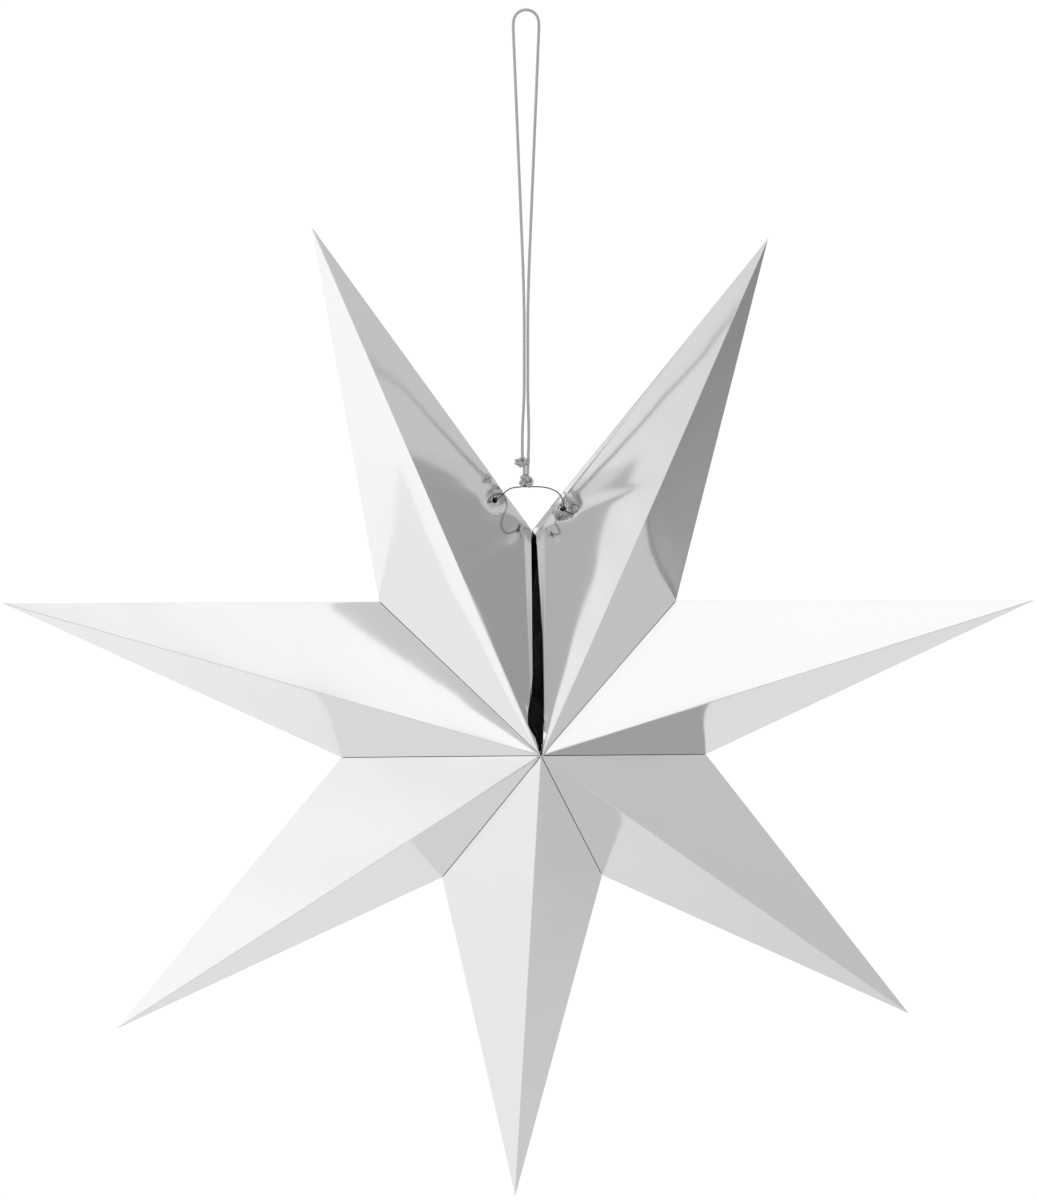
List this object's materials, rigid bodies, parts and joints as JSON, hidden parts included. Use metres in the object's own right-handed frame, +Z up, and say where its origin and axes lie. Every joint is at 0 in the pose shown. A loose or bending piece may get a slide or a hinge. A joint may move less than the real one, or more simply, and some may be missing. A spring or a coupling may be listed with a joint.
{
  "type": "folded paper star",
  "caption": "Folded star of mirror-foil card: hollow ridged pockets around a centre, laced at an open seam and hung from a knotted cord loop.",
  "frame": {"origin": "the hanging point: the inside top of the cord loop", "axes": "+Z up, +X right and -Y out of the star's front, in the plane of the tips"},
  "size_m": [0.4386, 0.1198, 0.5182],
  "materials": {
    "mirror_foil_card": "mirror-silver foil on white card, lightly rippled, worn white on the folds",
    "silver_cord": "twisted silver-grey cord with a dull metallic sheen",
    "dark_thread": "dark waxed thread"
  },
  "bodies": {
    "hanger": {"hanging_cord": "silver_cord", "loop_knot": "silver_cord"},
    "hitch": {"hitch_knot": "silver_cord"},
    "upper_left": {"upper_left_point": "mirror_foil_card", "tie_thread": "dark_thread"},
    "upper_right": {"upper_right_point": "mirror_foil_card"},
    "right": {"right_point": "mirror_foil_card"},
    "lower_right": {"lower_right_point": "mirror_foil_card"},
    "bottom": {"bottom_point": "mirror_foil_card"},
    "lower_left": {"lower_left_point": "mirror_foil_card"},
    "left": {"left_point": "mirror_foil_card"}
  },
  "joints": [
    {"name": "star_turn", "type": "hinge", "parent": "hanger", "child": "hitch", "pos_m": [0, 0, -0.1862], "axis": [0, 0, 1], "range_deg": [-180, 180]},
    {"name": "star_rock", "type": "hinge", "parent": "hitch", "child": "upper_left", "pos_m": [0, 0, -0.1924], "axis": [1, 0, 0], "range_deg": [-60, 60]},
    {"name": "fan_fold", "type": "hinge", "parent": "upper_left", "child": "upper_right", "pos_m": [0, 0, -0.292], "axis": [0, 1, 0], "range_deg": [0, 293], "deforming": ["upper_right_point", "upper_left_point"]},
    {"name": "right_fold", "type": "hinge", "parent": "upper_left", "child": "right", "pos_m": [0, 0, -0.292], "axis": [0, 1, 0], "range_deg": [0, 244.19], "deforming": ["right_point"]},
    {"name": "lower_right_fold", "type": "hinge", "parent": "upper_left", "child": "lower_right", "pos_m": [0, 0, -0.292], "axis": [0, 1, 0], "range_deg": [0, 195.35], "deforming": ["lower_right_point"]},
    {"name": "bottom_fold", "type": "hinge", "parent": "upper_left", "child": "bottom", "pos_m": [0, 0, -0.292], "axis": [0, 1, 0], "range_deg": [0, 146.52], "deforming": ["bottom_point"]},
    {"name": "lower_left_fold", "type": "hinge", "parent": "upper_left", "child": "lower_left", "pos_m": [0, 0, -0.292], "axis": [0, 1, 0], "range_deg": [0, 97.69], "deforming": ["lower_left_point"]},
    {"name": "left_fold", "type": "hinge", "parent": "upper_left", "child": "left", "pos_m": [0, 0, -0.292], "axis": [0, 1, 0], "range_deg": [0, 48.85], "deforming": ["left_point"]}
  ],
  "couplings": [
    {"joint": "right_fold", "follows": "fan_fold", "ratio": 0.83333},
    {"joint": "lower_right_fold", "follows": "fan_fold", "ratio": 0.66667},
    {"joint": "bottom_fold", "follows": "fan_fold", "ratio": 0.5},
    {"joint": "lower_left_fold", "follows": "fan_fold", "ratio": 0.33333},
    {"joint": "left_fold", "follows": "fan_fold", "ratio": 0.16667}
  ]
}
